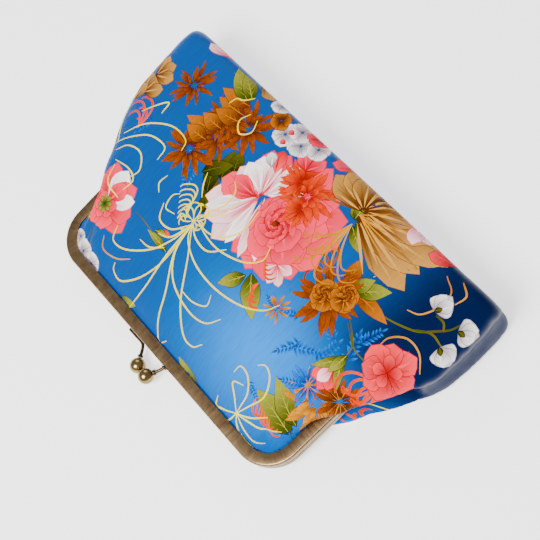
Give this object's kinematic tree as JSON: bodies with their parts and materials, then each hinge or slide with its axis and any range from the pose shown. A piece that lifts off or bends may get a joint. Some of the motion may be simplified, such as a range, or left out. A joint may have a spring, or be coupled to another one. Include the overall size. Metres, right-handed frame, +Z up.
{
  "type": "evening clutch",
  "caption": "Evening clutch: a boxed printed satin bag in a rounded brass snap frame with hinged arms, shut by two crossing balls on stems.",
  "frame": {"origin": "bottom centre of the bounding box, on the surface that the clutch lies on", "axes": "+X across the bag, +Y from the base towards the bar and its clasp, +Z up, out of the front panel as the clutch lies on its back"},
  "size_m": [0.2538, 0.162, 0.0385],
  "materials": {
    "frame_brass": "antique, brushed",
    "ball_brass": "antique, polished",
    "satin": "printed satin, soft sheen"
  },
  "bodies": {
    "root": {"frame_front": "frame_brass", "frame_back": "frame_brass", "clasp_stem_front": "frame_brass", "clasp_stem_back": "frame_brass", "clasp_ball_front": "ball_brass", "clasp_ball_back": "ball_brass", "hinge_rivet_left": "frame_brass", "hinge_rivet_right": "frame_brass", "bag_front": "satin", "bag_back": "satin"}
  },
  "joints": []
}
